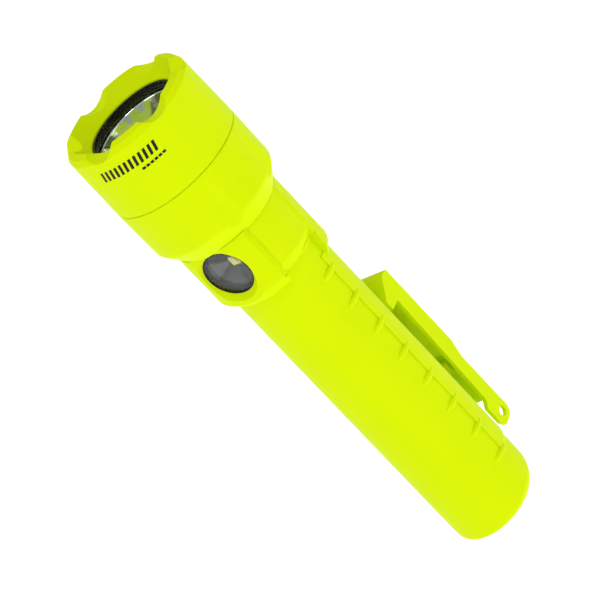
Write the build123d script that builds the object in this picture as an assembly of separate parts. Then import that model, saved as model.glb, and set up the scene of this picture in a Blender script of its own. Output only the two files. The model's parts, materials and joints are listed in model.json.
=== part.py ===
"""Dual-beam firefighter flashlight: a moulded handle with a crowned bezel, a side flood lamp and a back clip.

Millimetres. +Z runs along the handle from the tail to the bezel, the origin is on the flat of the tail,
the flood lamp faces -Y, and the clip and both push buttons are on the +Y side.
"""

import os
from math import cos, radians, sin

from build123d import *

# ---- driving dimensions ----
HANDLE_R = 18.0
GRIP_R = 18.6
NECK_R = 21.1
NECK_CORE_R = 20.5
FLOOD_PAD_R = 21.75
COLLAR_R = 25.8
SEAM_R = 26.05
CROWN_R = 25.75
SEAM_Z = 178.5
TOP_Z = 206.3
SEAM_GAP = 0.15
SEAM_CHAMFER = 0.3

TAIL_FRONT_ROUND = 1.5
TAIL_BACK_ROUND = 11.5
TAIL_SKIN = 1.2
TAIL_MAGNET_R = 9.5
TAIL_MAGNET_Y = -5.0

SHOULDER_Z = (150.5, 158.5)
SHOULDER_ROUND = 3.0
SHOULDER_FLUTE_R = 23.2
GRIP_Z = (20.0, 121.0)
GRIP_EDGE_ANGLE = 2.5
LOBE_BLEND = 4.6
BACK_LOBE_END_Z = 118.0
SIDE_LOBE_END_Z = 128.5
FLOOD_PAD_END_Z = 125.3
SIDE_LOBE_R = 20.9
LOBE_EDGES = (-42.0, 12.5)
FLOOD_PAD_FLAT_Y = -20.4

RIB_COUNT = 9
RIB_TOP_Z = 129.15
RIB_PITCH = 13.58
RIB_ANGLE = 0.5
RIB_DISC_R = 8.65
RIB_PEAK_R = 19.1
RIB_WIDTH = 2.2

HANDLE_BORE_R = 15.9
NECK_BORE_R = 17.4
HEAD_BORE_R = 20.6
HANDLE_FLOOR_Z = 12.6
NECK_BORE_Z = 124.0
HEAD_BORE_Z = 152.0
SPIGOT_R = 22.55
SPIGOT_TOP_Z = 188.5
ORING_SECTION_R = 0.9
ORING_Z = 182.0

TOOTH_COUNT = 6
SCALLOP_DEPTH = 3.4
SCALLOP_HALF_WIDTH = 6.3
NOSE_ROUND = 3.0
MOUTH_R = 22.2
LIP_R = 17.75
LIP_Z = 199.9
BEZEL_BORE_R = 20.75
THREAD_BORE_R = 22.9
THREAD_BORE_TOP_Z = 189.6

LENS_R = 20.3
LENS_Z = (196.4, 197.8)
LENS_VIEW_R = 16.3
REFLECTOR_R = 20.2
REFLECTOR_RIM_Z = 196.2
REFLECTOR_BASE_Z = 171.4
REFLECTOR_WALL = 1.2
LED_BASE_Z = (171.4, 172.4)
LED_HALF = 2.5
LED_DOME_R = 1.7
LED_BOARD_Z = (169.9, 171.35)
SINK_Z = (160.0, 166.0)
SINK_R = 20.2
SINK_BOSS_R = 13.0
WIRE_HOLE_R = 2.0
WIRE_HOLE_X = 6.0
CORE_HEAD_Z = (153.0, 159.95)
CORE_FOOT_Z = 127.0
BOARD_HALF = (10.3, 0.8)
BOARD_Z = (129.0, 157.0)

FLOOD_Z = 140.8
FLOOD_BORE_R = 9.2
FLOOD_LENS_R = 8.7
FLOOD_RIM_Y = -18.5
FLOOD_SEAT_Y = -16.2
FLOOD_BOARD_Y = -11.0

BUTTON_Z = (129.5, 143.5)
BUTTON_R = 5.2
BUTTON_GAP = 0.35
BUTTON_TRAVEL = 1.0
BUTTON_TOP_Y = 22.0
BUTTON_FOOT_Y = 15.8
BUTTON_STEM_R = 1.6
SWITCH_BOARD_Y = 10.5
SWITCH_TOP_Y = 12.8
SWITCH_CLEARANCE = 0.1

CLIP_HALF_WIDTH = 9.5
CLIP_WALL = 1.6
CLIP_OUTER_Y = 29.85
CLIP_TIP_OUTER_Y = 28.0
CLIP_TOP_Z = 89.4
CLIP_STEP_Z = (45.0, 52.0)
CLIP_WEB_END_Z = 25.5
EAR_CENTRE = (24.2, 19.7)
EAR_R = 3.8
LANYARD_HOLE_R = 1.9
CLIP_FOOT_Y = (18.7, 20.7)
CLIP_PILLAR_Z = (79.5, 83.2)
CLIP_END_INNER_Y = 19.3
CLIP_SCREW_Z = (68.5, 74.5)
CLIP_WEB_Y = 25.9
SCREW_R = 1.05
SCREW_PILOT_R = 1.1
SCREW_CLEARANCE_R = 1.3
SCREW_HEAD_R = 2.2
SCREW_END_Y = 16.5
MAGNET_HALF_X = 6.2
MAGNET_Z = (57.0, 81.5)

CELL_R = 7.1
CELL_LENGTH = 49.0
CELL_X = 7.35
CELL_PITCH_Z = 50.5
CARRIER_Z = (14.0, 122.5)
CARRIER_PLATE = 2.2
CARRIER_HALF = (14.9, 8.2)

C = Align.CENTER
LOW = Align.MIN


# ---- helpers ----
def disc(r, z0, z1, x=0.0, y=0.0):
    """Round bar along Z."""
    return Pos(x, y, z0) * Cylinder(r, z1 - z0, align=(C, C, LOW))


def ring(r_out, r_in, z0, z1):
    return disc(r_out, z0, z1) - disc(r_in, z0, z1)


def rod_y(r, y0, y1, x=0.0, z=0.0):
    """Round bar along Y, from y0 up to y1."""
    return Pos(x, y0, z) * Rot(-90, 0, 0) * Cylinder(r, y1 - y0, align=(C, C, LOW))


def block(x, y, z):
    """Box given by its (low, high) pairs."""
    size = [high - low for low, high in (x, y, z)]
    return Pos(x[0], y[0], z[0]) * Box(*size, align=(LOW, LOW, LOW))


def turned(points, start=0.0, arc=360.0):
    """Solid of revolution about Z from (radius, z) points, starting at an angle from +X."""
    face = Plane.XZ * Polygon(*points, align=None)
    return Rot(0, 0, start) * revolve(face, axis=Axis.Z, revolution_arc=arc)


def around(count, first=0.0):
    return [first + 360.0 * k / count for k in range(count)]


def both_sides(shape):
    return shape + mirror(shape, about=Plane.YZ)


def save(node, shape):
    os.makedirs("parts", exist_ok=True)
    export_step(shape, f"parts/{node}.step")


# ---- handle and head housing ----
def tail_section(turn):
    """Tilted section of the tail's rounding, from the flat (0 degrees) to the handle (90)."""
    inset, rise = 1 - sin(radians(turn)), 1 - cos(radians(turn))
    front = Vector(0, -HANDLE_R + TAIL_FRONT_ROUND * inset, TAIL_FRONT_ROUND * rise)
    back = Vector(0, HANDLE_R - TAIL_BACK_ROUND * inset, TAIL_BACK_ROUND * rise)
    across = back - front
    mean_round = (TAIL_FRONT_ROUND + TAIL_BACK_ROUND) / 2
    plane = Plane(
        origin=(front + back) * 0.5,
        x_dir=(1, 0, 0),
        z_dir=Vector(1, 0, 0).cross(across),
    )
    return plane * Ellipse(HANDLE_R - mean_round * inset, across.length / 2)


def handle_outside():
    """Plain round handle, with a tail that is rounded little at the front and much at the back."""
    sections = [tail_section(turn) for turn in (0, 22.5, 45, 67.5, 90)]
    end = sections[-1]
    cut = Plane(origin=end.center(), z_dir=end.faces()[0].normal_at())
    tube = split(disc(HANDLE_R, -1, SHOULDER_Z[1]), bisect_by=cut, keep=Keep.TOP)
    return tube + loft(sections)


def collar():
    """Head collar with the conical shoulder that comes down to the neck, before its lobes."""
    low, high = SHOULDER_Z
    profile = Polyline(
        (0, low - 8),
        (NECK_CORE_R, low - 8),
        (NECK_CORE_R, low),
        (COLLAR_R, high),
        (SEAM_R, SEAM_Z),
        (0, SEAM_Z),
        close=True,
    )
    corners = [v for v in profile.vertices() if v.X > 1 and low - 1 < v.Y < high + 1]
    face = Plane.XZ * make_face(fillet(corners, SHOULDER_ROUND))
    solid = revolve(face, axis=Axis.Z)
    return chamfer(solid.edges().sort_by(Axis.Z)[-1], SEAM_CHAMFER)


def lobe(radius, end_z, start, arc, root_r):
    """Raised sector of the neck, whose lower end slopes in to the handle."""
    top = SHOULDER_Z[0] + (radius - NECK_CORE_R)
    points = [
        (root_r, end_z - 1.5),
        (HANDLE_R, end_z),
        (radius - 0.5, end_z + LOBE_BLEND - 1.2),
        (radius, end_z + LOBE_BLEND),
        (radius, top),
        (root_r, top),
    ]
    return turned(points, start, arc)


def neck_lobes():
    front, side = LOBE_EDGES
    tuck = 2.0
    back = lobe(NECK_R, BACK_LOBE_END_Z, side, 180 - 2 * side, 13.0)
    one_side = lobe(SIDE_LOBE_R, SIDE_LOBE_END_Z, front - tuck, side - front + 2 * tuck, 14.0)
    sides = both_sides(one_side)
    pad = lobe(FLOOD_PAD_R, FLOOD_PAD_END_Z, -180 - front, 180 + 2 * front, 15.0)
    pad -= block((-30, 30), (-40, FLOOD_PAD_FLAT_Y), (100, 170))
    return back + sides + pad


def neck_grooves():
    """Narrow channels between the lobes, each running up into a wide shallow flute in the collar."""
    channel_r, flute_r = 1.3, 6.0
    cuts = []
    for angle in LOBE_EDGES:
        channel = disc(channel_r, SIDE_LOBE_END_Z, SHOULDER_Z[0] + 1, NECK_R + 0.6)
        foot = Vector(SHOULDER_FLUTE_R + flute_r, 0, SHOULDER_Z[0])
        head = Vector(SEAM_R + flute_r + 0.1, 0, SEAM_Z - 1)
        axis = Plane(origin=foot, z_dir=head - foot)
        flute = axis * Cylinder(flute_r, (head - foot).length, align=(C, C, LOW))
        cuts.append(Rot(0, 0, angle) * (channel + flute + Pos(*foot) * Sphere(flute_r)))
    one_side = cuts[0] + cuts[1]
    return both_sides(one_side)


def grip_panel():
    """Raised back panel, with thin ribs across both of its long edges."""
    low, high = GRIP_Z
    points = [
        (HANDLE_R - 2, low - 1),
        (HANDLE_R - 0.1, low - 1),
        (GRIP_R, low + 1.2),
        (GRIP_R, high),
        (HANDLE_R - 2, high),
    ]
    panel = turned(points, GRIP_EDGE_ANGLE, 180 - 2 * GRIP_EDGE_ANGLE)
    rib = disc(RIB_DISC_R, -RIB_WIDTH / 2, RIB_WIDTH / 2, RIB_PEAK_R - RIB_DISC_R)
    rib = Rot(0, 0, RIB_ANGLE) * chamfer(rib.edges(), 0.7, 0.5)
    for k in range(RIB_COUNT):
        panel += both_sides(Pos(0, 0, RIB_TOP_Z - RIB_PITCH * k) * rib)
    return panel


def clip_seat():
    """Flat pad on the back of the handle that the clip's foot is screwed to."""
    return block((-5, 5), (HANDLE_R - 1.5, CLIP_FOOT_Y[0]), (62.5, 80.5))


def button_seat():
    """Raised rounded plateau around the two buttons."""
    low, high = BUTTON_Z[0] - 8.5, BUTTON_Z[1] + 8.0
    plan = Plane.XZ * Pos(0, (low + high) / 2) * RectangleRounded(17, high - low, 7)
    return extrude(plan, -21.7) - extrude(plan, -17)


def housing_cavity():
    """Battery tube, neck and head bores, tail pocket, lamp and button holes."""
    cavity = disc(HANDLE_BORE_R, HANDLE_FLOOR_Z, NECK_BORE_Z)
    cavity += disc(NECK_BORE_R, NECK_BORE_Z, HEAD_BORE_Z)
    cavity += disc(HEAD_BORE_R, HEAD_BORE_Z, SPIGOT_TOP_Z + 1)
    cavity += disc(TAIL_MAGNET_R + 0.1, TAIL_SKIN, HANDLE_FLOOR_Z + 1, y=TAIL_MAGNET_Y)
    cavity += rod_y(FLOOD_BORE_R, -25, -12, z=FLOOD_Z)
    rim = Pos(0, FLOOD_RIM_Y - 2.4, FLOOD_Z) * Rot(-90, 0, 0)
    cavity += rim * Cone(FLOOD_BORE_R + 2.4, FLOOD_BORE_R, 2.4, align=(C, C, LOW))
    for z in BUTTON_Z:
        cavity += rod_y(BUTTON_R + BUTTON_GAP, 12, 25, z=z)
    for z in CLIP_SCREW_Z:
        cavity += rod_y(SCREW_PILOT_R, SCREW_END_Y - 0.1, CLIP_FOOT_Y[0] + 1, z=z)
    return cavity


def spigot():
    """Tube above the seam that carries the bezel, with a groove for its seal."""
    tube = disc(SPIGOT_R, SEAM_Z - 2, SPIGOT_TOP_Z)
    tube = chamfer(tube.edges().sort_by(Axis.Z)[-1], 0.6)
    groove = ring(SPIGOT_R + 1, SPIGOT_R - 1.5, ORING_Z - 1.0, ORING_Z + 1.0)
    return tube - groove


def body_housing():
    outside = handle_outside() + grip_panel() + neck_lobes() + collar()
    outside -= neck_grooves()
    outside += clip_seat() + button_seat()
    return outside + spigot() - housing_cavity()


# ---- bezel and main lens ----
def bezel():
    points = [
        (SEAM_R, SEAM_Z + SEAM_GAP),
        (CROWN_R, TOP_Z - NOSE_ROUND),
        (CROWN_R - 0.35 * NOSE_ROUND, TOP_Z - 0.3 * NOSE_ROUND),
        (CROWN_R - NOSE_ROUND, TOP_Z),
        (MOUTH_R, TOP_Z),
        (LIP_R, LIP_Z + 0.6),
        (LIP_R, LIP_Z),
        (BEZEL_BORE_R, LIP_Z),
        (BEZEL_BORE_R, THREAD_BORE_TOP_Z),
        (THREAD_BORE_R, THREAD_BORE_TOP_Z),
        (THREAD_BORE_R, SEAM_Z + SEAM_GAP),
    ]
    shell = turned(points)
    outer_foot = [e for e in shell.edges() if e.center().Z < SEAM_Z + 1 and e.radius > 25]
    shell = chamfer(outer_foot, SEAM_CHAMFER)
    half, depth = SCALLOP_HALF_WIDTH, SCALLOP_DEPTH
    arc_r = (half**2 + depth**2) / (2 * depth)
    cutter = Pos(CROWN_R - 6, 0, TOP_Z - depth + arc_r) * Rot(0, 90, 0) * Cylinder(arc_r, 16)
    for angle in around(TOOTH_COUNT, 30.0):
        shell -= Rot(0, 0, angle) * cutter
    return shell


def bezel_oring():
    return Pos(0, 0, ORING_Z) * Torus(SPIGOT_R + 0.3 - ORING_SECTION_R, ORING_SECTION_R)


def lens():
    low, high = LENS_Z
    return disc(LENS_R, low, high)


def lens_gasket():
    """Rubber ring on the lens, with two beads stepping down from the bezel's lip to the glass."""
    bottom, top = LENS_Z[1], LIP_Z - 0.05
    step = (LIP_R - LENS_VIEW_R) / 2
    middle = (bottom + top) / 2
    points = [
        (LENS_VIEW_R, bottom),
        (LENS_VIEW_R, middle - 0.2),
        (LENS_VIEW_R + step - 0.1, middle),
        (LENS_VIEW_R + step, top),
        (LENS_R, top),
        (LENS_R, bottom),
    ]
    return turned(points)


# ---- main light engine ----
def reflector_radius(height):
    """Inner radius of the parabolic bowl at a height above its base."""
    depth = REFLECTOR_RIM_Z - REFLECTOR_BASE_Z
    small, large = 4.4, 17.2
    return (small**2 + (large**2 - small**2) * height / depth) ** 0.5


def reflector():
    depth = REFLECTOR_RIM_Z - REFLECTOR_BASE_Z
    heights = [depth * k / 10 for k in range(11)]
    inner = [(reflector_radius(h), REFLECTOR_BASE_Z + h) for h in heights]
    outer = [(r + REFLECTOR_WALL, z) for r, z in inner if z < REFLECTOR_RIM_Z - 1.5]
    rim = [
        (REFLECTOR_R, REFLECTOR_RIM_Z),
        (REFLECTOR_R, REFLECTOR_RIM_Z - 1.5),
        (outer[-1][0] + 0.4, REFLECTOR_RIM_Z - 1.5),
    ]
    curve = [*inner, *rim, *reversed(outer)]
    return turned(curve)


def main_led():
    half = (-LED_HALF, LED_HALF)
    dome = split(Sphere(LED_DOME_R), bisect_by=Plane.XY, keep=Keep.TOP)
    return block(half, half, LED_BASE_Z) + Pos(0, 0, LED_BASE_Z[1]) * dome


def led_board():
    board = disc(10.0, *LED_BOARD_Z)
    for angle in around(6, 30.0):
        board -= Rot(0, 0, angle) * disc(1.6, 169, 172, 9.6)
    return board


def heat_sink():
    """Aluminium plug that carries the light board, finned round its edge."""
    low, high = SINK_Z
    sink = disc(SINK_R, low, high) + disc(SINK_BOSS_R, low, LED_BOARD_Z[0])
    for angle in around(24):
        sink -= Rot(0, 0, angle) * block((17.5, 21), (-0.8, 0.8), (low - 1, high + 1))
    return sink - disc(WIRE_HOLE_R, low - 1, LED_BOARD_Z[0] + 0.1, WIRE_HOLE_X)


def engine_core():
    """Plastic plug under the heat sink, narrow enough at its foot to leave the lamp and switches room."""
    low, high = CORE_HEAD_Z
    foot = Pos(0, 0, CORE_FOOT_Z) * RectangleRounded(27, 14, 6)
    foot = extrude(foot, low - CORE_FOOT_Z + 0.5)
    half_x, half_y = BOARD_HALF
    slot_x, slot_y = half_x + 0.2, half_y + 0.2
    slot = block((-slot_x, slot_x), (-slot_y, slot_y), (CORE_FOOT_Z - 1, BOARD_Z[1] + 1))
    hole = disc(WIRE_HOLE_R, low - 3, high + 0.05, WIRE_HOLE_X)
    return disc(17.0, low, high) + foot - slot - hole


def driver_board():
    """Upright circuit board with three flat chips."""
    half_x, half_y = BOARD_HALF
    board = block((-half_x, half_x), (-half_y, half_y), BOARD_Z)
    for x, z, w in ((-5, 136, 5), (4, 146, 7), (-4, 150, 4)):
        chip_y = (half_y - 0.1, half_y + 0.15)
        board += block((x - w / 2, x + w / 2), chip_y, (z - w / 2, z + w / 2))
    return board


def contact_springs():
    """Two sprung pins that press on the battery carrier."""
    pair = Compound(
        children=[disc(1.6, 122.6, 124.4, x) + disc(0.9, 124.4, 127.0, x) for x in (-8, 8)]
    )
    return pair


# ---- battery pack ----
def carrier_frame():
    low, high = CARRIER_Z
    half_x, half_y = CARRIER_HALF
    plan = RectangleRounded(2 * half_x, 2 * half_y, 7.4)
    frame = extrude(Pos(0, 0, low) * plan, CARRIER_PLATE)
    frame += extrude(Pos(0, 0, high - CARRIER_PLATE) * plan, CARRIER_PLATE)
    middle = (low + high) / 2
    frame += extrude(Pos(0, 0, middle - 0.6) * plan, 1.2)
    spine = block((-2.2, 2.2), (-half_y, half_y), (low, high))
    for x in (-CELL_X, CELL_X):
        spine -= disc(CELL_R + 0.1, low, high, x)
    frame += spine
    for x in (-CELL_X, CELL_X):
        frame -= disc(2.9, low - 1, high + 1, x)
    return frame


def battery_cell(column, row):
    """AA cell: can and raised positive cap, pointing up in one column and down in the other."""
    middle = (CARRIER_Z[0] + CARRIER_Z[1]) / 2
    base = middle + (row - 0.5) * (CELL_PITCH_Z + 1.6) - CELL_LENGTH / 2
    can = chamfer(disc(CELL_R, 0, CELL_LENGTH).edges(), 0.5)
    cell = can + disc(2.7, CELL_LENGTH - 0.1, CELL_LENGTH + 1.0)
    if column > 0:
        cell = Pos(0, 0, CELL_LENGTH) * Rot(180, 0, 0) * cell
    return Pos(column * CELL_X, 0, base) * cell


def carrier_contacts():
    """Pairs of plated end contacts in the carrier's end plates."""
    low, high = CARRIER_Z
    discs = []
    for x in (-CELL_X, CELL_X):
        discs.append(disc(2.8, low + 0.2, low + CARRIER_PLATE - 0.1, x))
        discs.append(disc(2.8, high - CARRIER_PLATE + 0.1, high - 0.1, x))
    return Compound(children=discs)


# ---- flood lamp ----
def flood_lens():
    """Clear disc with a low dome outside."""
    edge = rod_y(FLOOD_LENS_R, FLOOD_RIM_Y + 0.2, FLOOD_SEAT_Y, z=FLOOD_Z)
    rise = 0.9
    dome_r = (FLOOD_LENS_R**2 + rise**2) / (2 * rise)
    top_y = FLOOD_RIM_Y + 0.2 - rise
    ball = Pos(0, top_y + dome_r, FLOOD_Z) * Sphere(dome_r)
    cap = ball & rod_y(FLOOD_LENS_R, top_y - 1, FLOOD_RIM_Y + 0.4, z=FLOOD_Z)
    return edge + cap


def flood_gasket():
    outer = rod_y(FLOOD_BORE_R - 0.02, FLOOD_RIM_Y, FLOOD_SEAT_Y, z=FLOOD_Z)
    return outer - rod_y(FLOOD_LENS_R + 0.02, -20, -15, z=FLOOD_Z)


def flood_reflector():
    """Shallow conical cup between the flood lens and its board."""
    depth = FLOOD_BOARD_Y - FLOOD_SEAT_Y - 0.05
    place = Pos(0, FLOOD_SEAT_Y + 0.02, FLOOD_Z) * Rot(-90, 0, 0)
    cup = place * Cone(FLOOD_BORE_R - 0.1, 6.2, depth, align=(C, C, LOW))
    bowl = place * Cone(8.2, 3.0, depth, align=(C, C, LOW))
    return cup - bowl


def flood_led():
    base = block((-1.75, 1.75), (-12.0, -11.0), (FLOOD_Z - 1.75, FLOOD_Z + 1.75))
    return base + rod_y(1.2, -12.4, -11.9, z=FLOOD_Z)


def flood_board():
    return block((-7, 7), (FLOOD_BOARD_Y, FLOOD_BOARD_Y + 1.2), (FLOOD_Z - 7, FLOOD_Z + 7))


# ---- switches ----
def push_button(z):
    """Domed rubber button with a stem that reaches down to its switch."""
    cap = rod_y(BUTTON_R, BUTTON_FOOT_Y, BUTTON_TOP_Y, z=z)
    cap = fillet(cap.edges().sort_by(Axis.Y)[-1], 1.6)
    stem_end = SWITCH_TOP_Y + SWITCH_CLEARANCE + BUTTON_TRAVEL
    return cap + rod_y(BUTTON_STEM_R, stem_end, BUTTON_FOOT_Y + 0.1, z=z)


def tact_switches():
    """Two small square switches on the switch board."""
    top = SWITCH_BOARD_Y + 1.0
    pair = []
    for z in BUTTON_Z:
        case = block((-3, 3), (top, top + 1.0), (z - 3, z + 3))
        pair.append(case + rod_y(1.2, top + 1.0, SWITCH_TOP_Y, z=z))
    return Compound(children=pair)


def switch_board():
    low, high = BUTTON_Z
    return block((-6.5, 6.5), (SWITCH_BOARD_Y, SWITCH_BOARD_Y + 1.0), (low - 5.5, high + 5.5))


# ---- clip and magnets ----
def clip_side_outline():
    """Clip outline in (y, z): overhanging head, pillar, inner edge, rounded ear, stepped outer face."""
    step_low, step_high = CLIP_STEP_Z
    ear_y, ear_z = EAR_CENTRE
    return [
        (CLIP_OUTER_Y, CLIP_TOP_Z),
        (25.8, CLIP_TOP_Z),
        (CLIP_FOOT_Y[0], CLIP_PILLAR_Z[1]),
        (CLIP_FOOT_Y[0], CLIP_PILLAR_Z[0]),
        (23.6, CLIP_PILLAR_Z[0]),
        (21.9, CLIP_WEB_END_Z + 3.0),
        (CLIP_END_INNER_Y, CLIP_WEB_END_Z + 0.5),
        (CLIP_END_INNER_Y, ear_z - 1.2),
        (CLIP_END_INNER_Y + 1.7, ear_z - EAR_R),
        (ear_y, ear_z - EAR_R),
        (CLIP_TIP_OUTER_Y, ear_z),
        (CLIP_TIP_OUTER_Y, step_low),
        (CLIP_OUTER_Y, step_high),
    ]


def clip():
    """Channel-shaped clip: two side walls, a web that holds the magnet, and two ears for a lanyard."""
    half = CLIP_HALF_WIDTH
    ear_y, ear_z = EAR_CENTRE
    side = Plane.YZ * Polygon(*clip_side_outline(), align=None)
    solid = extrude(side, half, both=True)
    solid = fillet(solid.edges().filter_by(Axis.X).group_by(Axis.Z)[-1], 0.8)
    ear = Pos(0, ear_y, ear_z) * Rot(0, 90, 0) * Cylinder(EAR_R, 2 * half)
    solid += ear
    inside = half - CLIP_WALL
    hollow = block((-inside, inside), (10, CLIP_WEB_Y), (CLIP_WEB_END_Z, 78.0))
    hollow += block((-inside, inside), (10, 40), (0, CLIP_WEB_END_Z))
    hollow -= block((-inside, inside), (24.4, 40), (CLIP_STEP_Z[1] - 1, 90))
    solid -= hollow
    solid += block((-5.5, 5.5), (23.5, CLIP_WEB_Y + 0.2), (43.0, 47.5))
    solid += block((-4.5, 4.5), CLIP_FOOT_Y, (64.5, CLIP_PILLAR_Z[0] + 0.5))
    solid -= Pos(0, ear_y, ear_z) * Rot(0, 90, 0) * Cylinder(LANYARD_HOLE_R, 30)
    solid -= block((-MAGNET_HALF_X, MAGNET_HALF_X), (24, 28.4), MAGNET_Z)
    for z in CLIP_SCREW_Z:
        solid -= rod_y(SCREW_CLEARANCE_R, 17, 22, z=z)
    return solid


def clip_magnet():
    x = MAGNET_HALF_X - 0.05
    return block((-x, x), (25.5, 28.35), (MAGNET_Z[0] + 0.05, MAGNET_Z[1] - 0.05))


def magnet_cover():
    x = MAGNET_HALF_X - 0.05
    return block((-x, x), (24.4, 25.45), (MAGNET_Z[0] + 0.05, MAGNET_Z[1] - 0.05))


def clip_screws():
    """Two pan-head screws through the clip's foot."""
    screws = []
    for z in CLIP_SCREW_Z:
        head = rod_y(SCREW_HEAD_R, CLIP_FOOT_Y[1] + 0.02, CLIP_FOOT_Y[1] + 1.3, z=z)
        head -= block((-0.3, 0.3), (CLIP_FOOT_Y[1] + 0.8, 30), (z - 1.6, z + 1.6))
        screws.append(head + rod_y(SCREW_R, SCREW_END_Y, CLIP_FOOT_Y[1] + 0.1, z=z))
    return Compound(children=screws)


def tail_magnet():
    return disc(TAIL_MAGNET_R, TAIL_SKIN + 0.05, TAIL_SKIN + 4.05, y=TAIL_MAGNET_Y)


def tail_retainer():
    """Plug that holds the tail magnet down."""
    return disc(TAIL_MAGNET_R, TAIL_SKIN + 4.1, HANDLE_FLOOR_Z + 0.8, y=TAIL_MAGNET_Y)


def main():
    parts = {
        "body_housing": body_housing(),
        "bezel_ring": bezel(),
        "bezel_oring": bezel_oring(),
        "main_lens": lens(),
        "lens_gasket": lens_gasket(),
        "reflector": reflector(),
        "main_led": main_led(),
        "led_board": led_board(),
        "heat_sink": heat_sink(),
        "engine_core": engine_core(),
        "driver_board": driver_board(),
        "contact_springs": contact_springs(),
        "carrier_frame": carrier_frame(),
        "carrier_contacts": carrier_contacts(),
        "flood_lens": flood_lens(),
        "flood_gasket": flood_gasket(),
        "flood_reflector": flood_reflector(),
        "flood_led": flood_led(),
        "flood_board": flood_board(),
        "flood_button": push_button(BUTTON_Z[0]),
        "spot_button": push_button(BUTTON_Z[1]),
        "tact_switches": tact_switches(),
        "switch_board": switch_board(),
        "clip": clip(),
        "clip_magnet": clip_magnet(),
        "magnet_cover": magnet_cover(),
        "clip_screws": clip_screws(),
        "tail_magnet": tail_magnet(),
        "tail_retainer": tail_retainer(),
    }
    cells = [(column, row) for column in (-1, 1) for row in (0, 1)]
    for number, (column, row) in enumerate(cells, start=1):
        parts[f"battery_cell_{number}"] = battery_cell(column, row)
    for node, shape in parts.items():
        save(node, shape)


main()
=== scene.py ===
"""Looks of the dual-beam firefighter flashlight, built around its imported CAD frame. Metres."""

import json
import math

import bmesh
import bpy
from mathutils import Matrix, Vector


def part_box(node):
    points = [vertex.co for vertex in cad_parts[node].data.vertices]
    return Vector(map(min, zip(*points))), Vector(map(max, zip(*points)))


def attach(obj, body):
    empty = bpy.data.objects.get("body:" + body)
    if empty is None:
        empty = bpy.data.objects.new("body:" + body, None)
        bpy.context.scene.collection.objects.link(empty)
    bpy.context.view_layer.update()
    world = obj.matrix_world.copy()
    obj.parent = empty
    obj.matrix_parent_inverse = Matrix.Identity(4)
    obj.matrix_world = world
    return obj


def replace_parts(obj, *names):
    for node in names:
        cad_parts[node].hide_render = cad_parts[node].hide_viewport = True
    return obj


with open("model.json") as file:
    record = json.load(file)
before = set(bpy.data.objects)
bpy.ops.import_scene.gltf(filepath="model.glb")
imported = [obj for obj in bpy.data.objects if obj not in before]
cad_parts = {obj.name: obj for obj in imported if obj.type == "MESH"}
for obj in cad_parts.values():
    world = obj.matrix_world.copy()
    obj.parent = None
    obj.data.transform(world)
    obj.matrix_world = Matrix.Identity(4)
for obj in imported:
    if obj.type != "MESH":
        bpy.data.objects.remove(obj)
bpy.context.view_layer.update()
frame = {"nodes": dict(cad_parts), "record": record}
MM = 0.001

# ---- camera, fitted to the photograph; angles in degrees ----
CAMERA_AZIMUTH = 43.836
CAMERA_ELEVATION = 23.995
CAMERA_ROLL = -43.567
CAMERA_DISTANCE = 1.411448
CAMERA_TARGET = Vector((0, 0, 0.105))
CAMERA_LENS = 246.549
CAMERA_SENSOR = 36.0
CAMERA_SHIFT = (-0.0194, 0.0103)
CAMERA_REACH = 100.0

# ---- measures of the extra pieces ----
AXIS_STEPS = 96
BOWL_RINGS = 40
BOWL_PETALS = 12
BOWL_PETAL_DEPTH = 0.18 * MM
BOWL_BASE_R = 4.4 * MM
BOWL_RIM_R = 17.2 * MM
BOWL_WALL = 1.15 * MM
FLANGE_DEPTH = 1.5 * MM
FLANGE_WIDTH = 2 * MM
FLANGE_SKIPPED_RINGS = 3

BEZEL_FOOT_R = 26.05 * MM
BEZEL_TOP_R = 25.75 * MM
BEZEL_STRAIGHT_TOP_Z = 203.3 * MM
PRINT_RAISE = 0.04 * MM
PRINT_COLUMNS = 4
PRINT_LEVELS = 3

# Rows of print: how many bars, then first angle, step, width and lean in degrees, then low and high z.
SLANTED_BARS = (12, -101.0, 4.6, 2.4, 2.0, 195.5 * MM, 199.3 * MM)
THIN_DASHES = (6, -67.0, 3.9, 2.9, 0.0, 193.1 * MM, 194.0 * MM)

THREAD_PITCH = 1.6 * MM
THREAD_TURNS = 2.4
THREAD_ROOT_R = 22.5 * MM
THREAD_RAISE = 0.2 * MM
THREAD_LEAST_RAISE = 0.05 * MM
THREAD_HALF_WIDTH = THREAD_PITCH * 0.32
THREAD_CREST_SHARE = 0.3
THREAD_FADE_STEPS = 8
THREAD_ABOVE_SEAL = 0.8 * MM
THREAD_BELOW_TOP = 0.9 * MM

# ---- materials ----
PATCH_SCALE = 45.0
GRAIN_SCALE = 900.0
NOISE_MIDDLE = (0.3, 0.7)
RELIEF_DEPTH = 0.05 * MM
SIDE_CUP_TOP_Z = (0.16, 0.165)
# Painted shade: near-black colour given to the flood lamp's cup in place of the shade inside it.
SIDE_CUP_PAINTED_SHADE = (0.07, 0.07, 0.066, 1)

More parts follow.
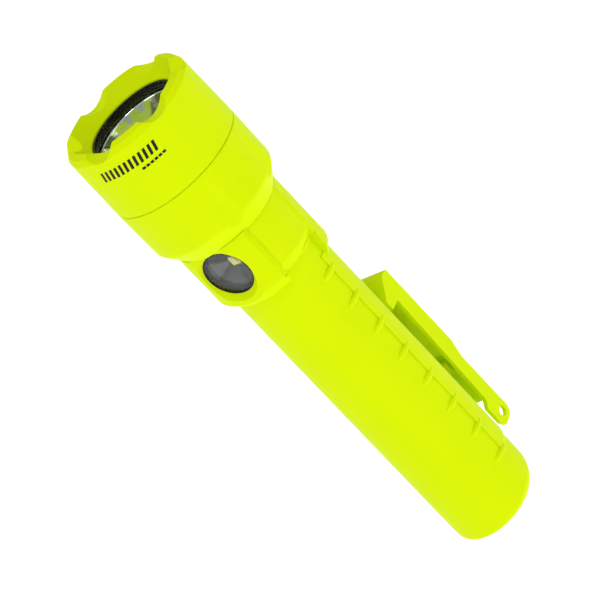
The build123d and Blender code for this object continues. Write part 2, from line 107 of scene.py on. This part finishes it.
# Each slot's two colours and its range of roughness, then what differs from a plain plastic.
FINISHES = {
    "hi_vis_polymer": (
        ((0.66, 0.84, 0.0), (0.68, 0.86, 0.0), (0.42, 0.55)),
        {"bump": 0.06, "specular": 0.03},
    ),
    "black_rubber": (
        ((0.006, 0.006, 0.006), (0.01, 0.01, 0.01), (0.24, 0.32)),
        {"bump": 0.02, "specular": 0.25},
    ),
    "button_rubber": (((0.012, 0.012, 0.013), (0.02, 0.02, 0.02), (0.5, 0.65)), {}),
    "clear_lens": (((0.9, 0.93, 0.93), (0.96, 0.98, 0.97), (0.02, 0.05)), {"metallic": 1.0, "bump": 0.01}),
    "bright_reflector": (
        ((0.96, 0.97, 0.98), (0.9, 0.91, 0.93), (0.04, 0.09)),
        {"metallic": 1.0, "bump": 0.02},
    ),
    "led_phosphor": (((0.95, 0.75, 0.12), (1.0, 0.85, 0.25), (0.1, 0.2)), {}),
    "circuit_board": (((0.01, 0.16, 0.05), (0.015, 0.22, 0.07), (0.3, 0.45)), {}),
    "aluminium": (((0.72, 0.73, 0.75), (0.8, 0.8, 0.82), (0.25, 0.4)), {"metallic": 1.0}),
    "black_polymer": (((0.01, 0.01, 0.01), (0.016, 0.016, 0.016), (0.4, 0.55)), {"specular": 0.15}),
    "plated_contact": (((0.8, 0.6, 0.25), (0.88, 0.7, 0.33), (0.2, 0.3)), {"metallic": 1.0}),
    "cell_can": (((0.3, 0.31, 0.33), (0.38, 0.39, 0.41), (0.25, 0.35)), {"metallic": 0.6}),
    "magnet": (((0.6, 0.6, 0.62), (0.68, 0.68, 0.7), (0.12, 0.2)), {"metallic": 1.0}),
    "screw_steel": (((0.5, 0.5, 0.5), (0.6, 0.6, 0.59), (0.25, 0.35)), {"metallic": 1.0}),
}
FLOOR_FINISH = ((0.93, 0.93, 0.93), (0.95, 0.95, 0.95), (0.8, 0.9))

# ---- setting ----
FLOOR_RADIUS = 30.0
FLOOR_Z = -0.3
FLOOR_GLOW = 0.6
SKY_HEIGHTS = (0.1, 0.9)
SKY_STRENGTHS = (0.2, 0.8)

# Name, place, diameter and power of each light; all point at the middle of the object.
LIGHTS = (
    ("key", (-0.5, -1.4, 0.9), 0.9, 5.0),
    ("fill", (1.3, 0.1, 0.4), 0.9, 2.6),
    ("top", (0.5, -0.6, 1.6), 0.5, 3.6),
)


def node(tree, kind, place, **settings):
    """Adds a shader node."""
    new = tree.nodes.new(kind)
    new.location = place
    for name, value in settings.items():
        setattr(new, name, value)
    return new


def noise(tree, scale, detail, place):
    """Noise in object space, the same for every piece."""
    where = node(tree, "ShaderNodeTexCoord", (place[0] - 200, place[1]))
    texture = node(tree, "ShaderNodeTexNoise", place)
    texture.inputs["Scale"].default_value = scale
    texture.inputs["Detail"].default_value = detail
    tree.links.new(where.outputs["Object"], texture.inputs["Vector"])
    return texture.outputs["Fac"]


def remap(tree, value, given, wanted, place):
    """Maps a value from the range given to the range wanted, clamped at both ends."""
    new = node(tree, "ShaderNodeMapRange", place)
    new.inputs["From Min"].default_value = given[0]
    new.inputs["From Max"].default_value = given[1]
    new.inputs["To Min"].default_value = wanted[0]
    new.inputs["To Max"].default_value = wanted[1]
    tree.links.new(value, new.inputs["Value"])
    return new.outputs["Result"]


def spread(tree, value, wanted, place):
    """Maps the middle of a noise value to a range."""
    return remap(tree, value, NOISE_MIDDLE, wanted, place)


def height(tree, space, place):
    """The z coordinate in a space of the Texture Coordinate node."""
    where = node(tree, "ShaderNodeTexCoord", (place[0] - 200, place[1]))
    parts = node(tree, "ShaderNodeSeparateXYZ", place)
    tree.links.new(where.outputs[space], parts.inputs["Vector"])
    return parts.outputs["Z"]


def mixed_colour(tree, value, first, second, place):
    """Mixes two colours by a value."""
    mix = node(tree, "ShaderNodeMix", place, data_type="RGBA")
    mix.inputs["A"].default_value = (*first, 1)
    mix.inputs["B"].default_value = (*second, 1)
    tree.links.new(value, mix.inputs["Factor"])
    return mix.outputs["Result"]


def finish(name, first, second, roughness, metallic=0.0, bump=0.05, specular=0.5):
    """Principled material whose colour, roughness and surface vary a little from place to place."""
    material = bpy.data.materials.new(name)
    material.use_nodes = True
    tree = material.node_tree
    shader = tree.nodes["Principled BSDF"]
    shader.inputs["Metallic"].default_value = metallic
    shader.inputs["Specular IOR Level"].default_value = specular
    patches = spread(tree, noise(tree, PATCH_SCALE, 3.0, (-800, 300)), (0.0, 1.0), (-560, 300))
    colour = mixed_colour(tree, patches, first, second, (-340, 300))
    tree.links.new(colour, shader.inputs["Base Color"])
    grain = noise(tree, GRAIN_SCALE, 4.0, (-800, -100))
    tree.links.new(spread(tree, grain, roughness, (-560, -100)), shader.inputs["Roughness"])
    relief = node(tree, "ShaderNodeBump", (-340, -300))
    relief.inputs["Strength"].default_value = bump
    relief.inputs["Distance"].default_value = RELIEF_DEPTH
    tree.links.new(grain, relief.inputs["Height"])
    tree.links.new(relief.outputs["Normal"], shader.inputs["Normal"])
    return material


def make_see_through(material):
    """Makes a mirror into clear polycarbonate, which reflects a little more toward its edge."""
    tree = material.node_tree
    shader = tree.nodes["Principled BSDF"]
    output = tree.nodes["Material Output"]
    through = node(tree, "ShaderNodeBsdfTransparent", (0, 300))
    through.inputs["Color"].default_value = (0.96, 0.98, 0.98, 1)
    angle = node(tree, "ShaderNodeLayerWeight", (-200, 450))
    angle.inputs["Blend"].default_value = 0.12
    share = remap(tree, angle.outputs["Facing"], (0.0, 1.0), (0.02, 0.3), (0, 450))
    mix = node(tree, "ShaderNodeMixShader", (250, 300))
    tree.links.new(share, mix.inputs["Fac"])
    tree.links.new(through.outputs["BSDF"], mix.inputs[1])
    tree.links.new(shader.outputs["BSDF"], mix.inputs[2])
    tree.links.new(mix.outputs["Shader"], output.inputs["Surface"])


def paint_shade_in_side_cup(material):
    """Paints shade into the flood lamp's cup, which lies below the head: a near-black painted shade
    replaces the main reflector's plating there.
    """
    tree = material.node_tree
    shader = tree.nodes["Principled BSDF"]
    plated = shader.inputs["Base Color"].links[0].from_socket
    in_head = remap(tree, height(tree, "Object", (-600, 650)), SIDE_CUP_TOP_Z, (0.0, 1.0), (-400, 650))
    # Painted shade colour below the head, plated colour above it.
    mix = node(tree, "ShaderNodeMix", (-150, 500), data_type="RGBA")
    mix.inputs["A"].default_value = SIDE_CUP_PAINTED_SHADE
    tree.links.new(in_head, mix.inputs["Factor"])
    tree.links.new(plated, mix.inputs["B"])
    tree.links.new(mix.outputs["Result"], shader.inputs["Base Color"])


def make_materials():
    """One material for each slot of the record."""
    made = {slot: finish(slot, *look, **extra) for slot, (look, extra) in FINISHES.items()}
    make_see_through(made["clear_lens"])
    paint_shade_in_side_cup(made["bright_reflector"])
    return made


def dress_cad(materials):
    """Gives every CAD node the material of its record slot."""
    for part in frame["record"]["subparts"]:
        mesh = frame["nodes"][part["node"]].data
        mesh.materials.clear()
        mesh.materials.append(materials[part["material_slot"]])


# ---- extra pieces ----
def piece(name, bm, material, body):
    """Makes a smooth object of a finished bmesh and ties it to its CAD body and material slot."""
    mesh = bpy.data.meshes.new(name)
    bm.to_mesh(mesh)
    bm.free()
    for polygon in mesh.polygons:
        polygon.use_smooth = True
    mesh.materials.append(material)
    thing = bpy.data.objects.new(name, mesh)
    bpy.context.scene.collection.objects.link(thing)
    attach(thing, body)
    return thing


def polar(radius, angle, z):
    """A point at a radius and angle round the handle's axis."""
    return Vector((radius * math.cos(angle), radius * math.sin(angle), z))


def add_grid(bm, rows, close_across=False):
    """Skins a list of rows of points; each row joins back on itself if close_across."""
    grid = [[bm.verts.new(point) for point in row] for row in rows]
    for upper, lower in zip(grid, grid[1:]):
        count = len(upper)
        for k in range(count if close_across else count - 1):
            n = (k + 1) % count
            bm.faces.new((upper[k], upper[n], lower[n], lower[k]))


def bowl_profile():
    """Inner radius and height of each ring of the main reflector's parabolic bowl, from base to rim."""
    low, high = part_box("reflector")
    rings = []
    for k in range(BOWL_RINGS + 1):
        share = k / BOWL_RINGS
        radius = math.sqrt(BOWL_BASE_R**2 + (BOWL_RIM_R**2 - BOWL_BASE_R**2) * share)
        rings.append((radius, low.z + (high.z - low.z) * share))
    return rings


def reflector_bowl(material):
    """Main reflector with shallow petals pressed into its bowl, ending in a flat rim."""
    angles = [2 * math.pi * k / AXIS_STEPS for k in range(AXIS_STEPS)]
    rings = bowl_profile()
    base_z, rim_z = rings[0][1], rings[-1][1]
    rows = []
    for radius, z in reversed(rings):
        share = (z - base_z) / (rim_z - base_z)
        depth = BOWL_PETAL_DEPTH * math.sin(math.pi * share)
        rows.append([polar(radius + depth * abs(math.sin(BOWL_PETALS * a / 2)), a, z) for a in angles])
    for radius, z in rings[:-FLANGE_SKIPPED_RINGS]:
        rows.append([polar(radius + BOWL_WALL, a, z) for a in angles])
    flange_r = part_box("reflector")[1].x
    under_z = rim_z - FLANGE_DEPTH
    for radius, z in ((flange_r - FLANGE_WIDTH, under_z), (flange_r, under_z), (flange_r, rim_z)):
        rows.append([polar(radius, a, z) for a in angles])
    rows.append(rows[0])
    bm = bmesh.new()
    add_grid(bm, rows, close_across=True)
    bmesh.ops.remove_doubles(bm, verts=bm.verts, dist=1e-6)
    bmesh.ops.recalc_face_normals(bm, faces=bm.faces)
    return piece("reflector_bowl", bm, material, "handle")


def bezel_radius(z):
    """Radius of the bezel's slightly conical side at a height."""
    foot_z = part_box("bezel_ring")[0].z
    share = (z - foot_z) / (BEZEL_STRAIGHT_TOP_Z - foot_z)
    return BEZEL_FOOT_R + (BEZEL_TOP_R - BEZEL_FOOT_R) * share


def print_bar(bm, start, width, lean, low_z, high_z):
    """One bar of ink on the bezel, between two heights; angles are in degrees."""
    rows = []
    for level in range(PRINT_LEVELS + 1):
        share = level / PRINT_LEVELS
        z = low_z + (high_z - low_z) * share
        radius = bezel_radius(z) + PRINT_RAISE
        first = start + lean * share
        angles = [math.radians(first + width * k / PRINT_COLUMNS) for k in range(PRINT_COLUMNS + 1)]
        rows.append([polar(radius, a, z) for a in angles])
    add_grid(bm, rows)


def bezel_print(material):
    """Plain slanted bars over a thin broken line, where the original has its printed marking."""
    bm = bmesh.new()
    for count, first, step, width, lean, low_z, high_z in (SLANTED_BARS, THIN_DASHES):
        for k in range(count):
            print_bar(bm, first + step * k, width, lean, low_z, high_z)
    return piece("bezel_print", bm, material, "bezel")


def spigot_thread(material):
    """Fine thread above the seal, seen when the bezel is unscrewed."""
    start_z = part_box("bezel_oring")[1].z + THREAD_ABOVE_SEAL
    top_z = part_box("body_housing")[1].z - THREAD_BELOW_TOP
    half = THREAD_HALF_WIDTH
    steps = int(AXIS_STEPS * THREAD_TURNS)
    rows = []
    for k in range(steps + 1):
        angle = 2 * math.pi * k / AXIS_STEPS
        z = min(start_z + THREAD_PITCH * angle / (2 * math.pi), top_z - half)
        fade = min(1.0, k / THREAD_FADE_STEPS, (steps - k) / THREAD_FADE_STEPS)
        crest = THREAD_ROOT_R + THREAD_LEAST_RAISE + THREAD_RAISE * fade
        crest_half = half * THREAD_CREST_SHARE
        section = (
            (THREAD_ROOT_R, -half),
            (crest, -crest_half),
            (crest, crest_half),
            (THREAD_ROOT_R, half),
        )
        rows.append([polar(r, angle, z + dz) for r, dz in section])
    bm = bmesh.new()
    add_grid(bm, rows)
    bmesh.ops.recalc_face_normals(bm, faces=bm.faces)
    return piece("spigot_thread", bm, material, "handle")


# ---- setting ----
def floor():
    """Plain pale floor, far enough below for soft light only."""
    bm = bmesh.new()
    bmesh.ops.create_circle(bm, cap_ends=True, segments=AXIS_STEPS, radius=FLOOR_RADIUS)
    mesh = bpy.data.meshes.new("floor")
    bm.to_mesh(mesh)
    bm.free()
    material = finish("floor_paper", *FLOOR_FINISH, specular=0.1)
    shader = material.node_tree.nodes["Principled BSDF"]
    shader.inputs["Emission Color"].default_value = (1, 1, 1, 1)
    shader.inputs["Emission Strength"].default_value = FLOOR_GLOW
    mesh.materials.append(material)
    thing = bpy.data.objects.new("floor", mesh)
    thing.location = (0, 0, FLOOR_Z)
    bpy.context.scene.collection.objects.link(thing)


def area_light(name, place, size, power):
    """Round soft light that points at the camera's target."""
    light = bpy.data.lights.new(name, "AREA")
    light.shape = "DISK"
    light.size = size
    light.energy = power
    thing = bpy.data.objects.new(name, light)
    thing.location = place
    direction = CAMERA_TARGET - Vector(place)
    thing.rotation_euler = direction.to_track_quat("-Z", "Y").to_euler()
    bpy.context.scene.collection.objects.link(thing)


def studio():
    """White surroundings that grow brighter with height, and three soft lights."""
    scene = bpy.context.scene
    scene.view_settings.view_transform = "Standard"
    world = bpy.data.worlds.new("studio")
    world.use_nodes = True
    tree = world.node_tree
    sky = tree.nodes["Background"]
    sky.inputs["Color"].default_value = (1, 1, 1, 1)
    up = height(tree, "Generated", (-600, 0))
    tree.links.new(remap(tree, up, SKY_HEIGHTS, SKY_STRENGTHS, (-400, 0)), sky.inputs["Strength"])
    scene.world = world
    for light in LIGHTS:
        area_light(*light)


def camera():
    """Camera at the photograph's viewpoint, rolled about its own line of sight."""
    azimuth = math.radians(CAMERA_AZIMUTH)
    elevation = math.radians(CAMERA_ELEVATION)
    roll = math.radians(CAMERA_ROLL)
    right = Vector((math.cos(azimuth), math.sin(azimuth), 0))
    back_x = math.sin(azimuth) * math.cos(elevation)
    back_y = -math.cos(azimuth) * math.cos(elevation)
    back = Vector((back_x, back_y, math.sin(elevation)))
    up = back.cross(right)
    x_axis = math.cos(roll) * right + math.sin(roll) * up
    y_axis = math.cos(roll) * up - math.sin(roll) * right
    data = bpy.data.cameras.new("camera")
    data.lens = CAMERA_LENS
    data.sensor_width = CAMERA_SENSOR
    data.shift_x, data.shift_y = CAMERA_SHIFT
    data.clip_end = CAMERA_REACH
    thing = bpy.data.objects.new("camera", data)
    turn = Matrix((x_axis, y_axis, back)).transposed().to_4x4()
    thing.matrix_world = Matrix.Translation(CAMERA_TARGET + back * CAMERA_DISTANCE) @ turn
    bpy.context.scene.collection.objects.link(thing)
    bpy.context.scene.camera = thing


materials = make_materials()
dress_cad(materials)
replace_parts(reflector_bowl(materials["bright_reflector"]), "reflector")
bezel_print(materials["black_polymer"])
spigot_thread(materials["hi_vis_polymer"])
floor()
studio()
camera()
